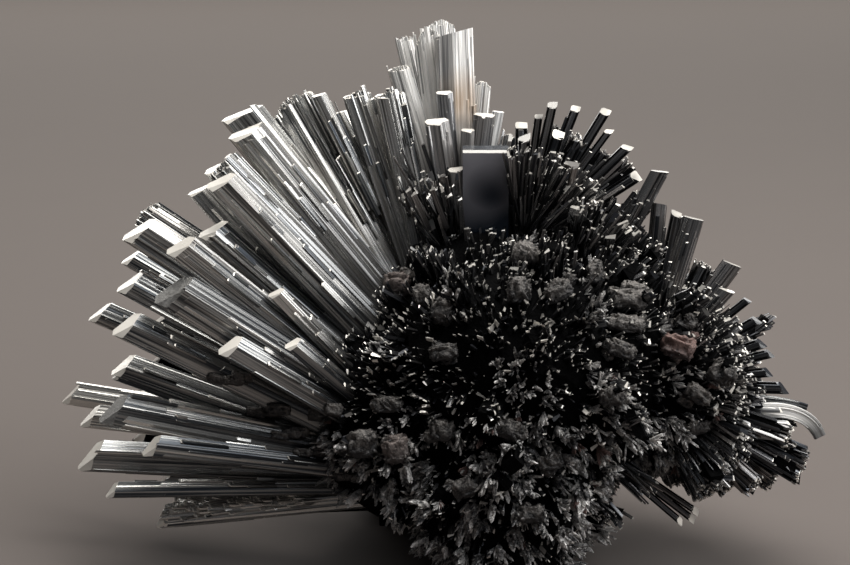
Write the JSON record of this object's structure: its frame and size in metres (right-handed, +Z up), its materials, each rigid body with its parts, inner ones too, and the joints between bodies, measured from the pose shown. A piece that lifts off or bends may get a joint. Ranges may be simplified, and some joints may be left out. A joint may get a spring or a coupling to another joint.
{
  "type": "stibnite crystal spray",
  "caption": "Natural cluster of long striated metallic blades and fine dark needles growing outward from a crystal crust that rests on a flat foot.",
  "frame": {"origin": "middle of the bounding box's bottom, on the surface that the specimen rests on", "axes": "+X to the right along the fan's spread, +Y away from the specimen's face, +Z up"},
  "size_m": [0.1224, 0.0666, 0.082],
  "materials": {
    "blade": "lead-grey metallic sulphide, striated along its length, bright end faces",
    "crown": "lead-grey metallic sulphide with a brown tarnish low on one side",
    "plate": "smooth dark blue-grey metallic sulphide",
    "prism": "near-black metallic sulphide with bright end faces",
    "bent_crystal": "grey metallic sulphide, gently bent",
    "crust": "near-black crust of small crystals, dull brown-grey on its rough lumps and bright on its small ends"
  },
  "bodies": {
    "root": {"back_blade_01": "blade", "back_blade_02": "blade", "back_blade_03": "blade", "back_blade_04": "blade", "back_blade_05": "blade", "back_blade_06": "blade", "back_blade_07": "blade", "bent_crystal_long": "bent_crystal", "bent_crystal_short": "bent_crystal", "crown_blade_01": "crown", "crown_blade_02": "crown", "crown_blade_03": "crown", "crown_blade_04": "crown", "crown_blade_05": "crown", "crown_blade_06": "crown", "crown_blade_07": "crown", "crown_blade_08": "crown", "crown_blade_09": "crown", "crown_blade_10": "crown", "crown_blade_11": "crown", "crown_blade_12": "crown", "crust": "crust", "fan_blade_01": "blade", "fan_blade_02": "blade", "fan_blade_03": "blade", "fan_blade_04": "blade", "fan_blade_05": "blade", "fan_blade_06": "blade", "fan_blade_07": "blade", "fan_blade_08": "blade", "fan_blade_09": "blade", "fan_blade_10": "blade", "fan_blade_11": "blade", "fan_blade_12": "blade", "fan_blade_13": "blade", "fan_blade_14": "blade", "fan_blade_15": "blade", "fan_blade_16": "blade", "fan_blade_17": "blade", "fan_blade_18": "blade", "fan_blade_19": "blade", "fan_blade_20": "blade", "fan_blade_21": "blade", "fan_blade_22": "blade", "fan_blade_23": "blade", "fan_blade_24": "blade", "fan_blade_25": "blade", "fan_blade_26": "blade", "fan_blade_27": "blade", "fan_blade_28": "blade", "fan_blade_29": "blade", "fan_blade_30": "blade", "fan_blade_31": "blade", "plate_crystal": "plate", "right_prism_01": "prism", "right_prism_02": "prism", "right_prism_03": "prism", "right_prism_04": "prism", "right_prism_05": "prism", "right_prism_06": "prism"}
  },
  "joints": []
}
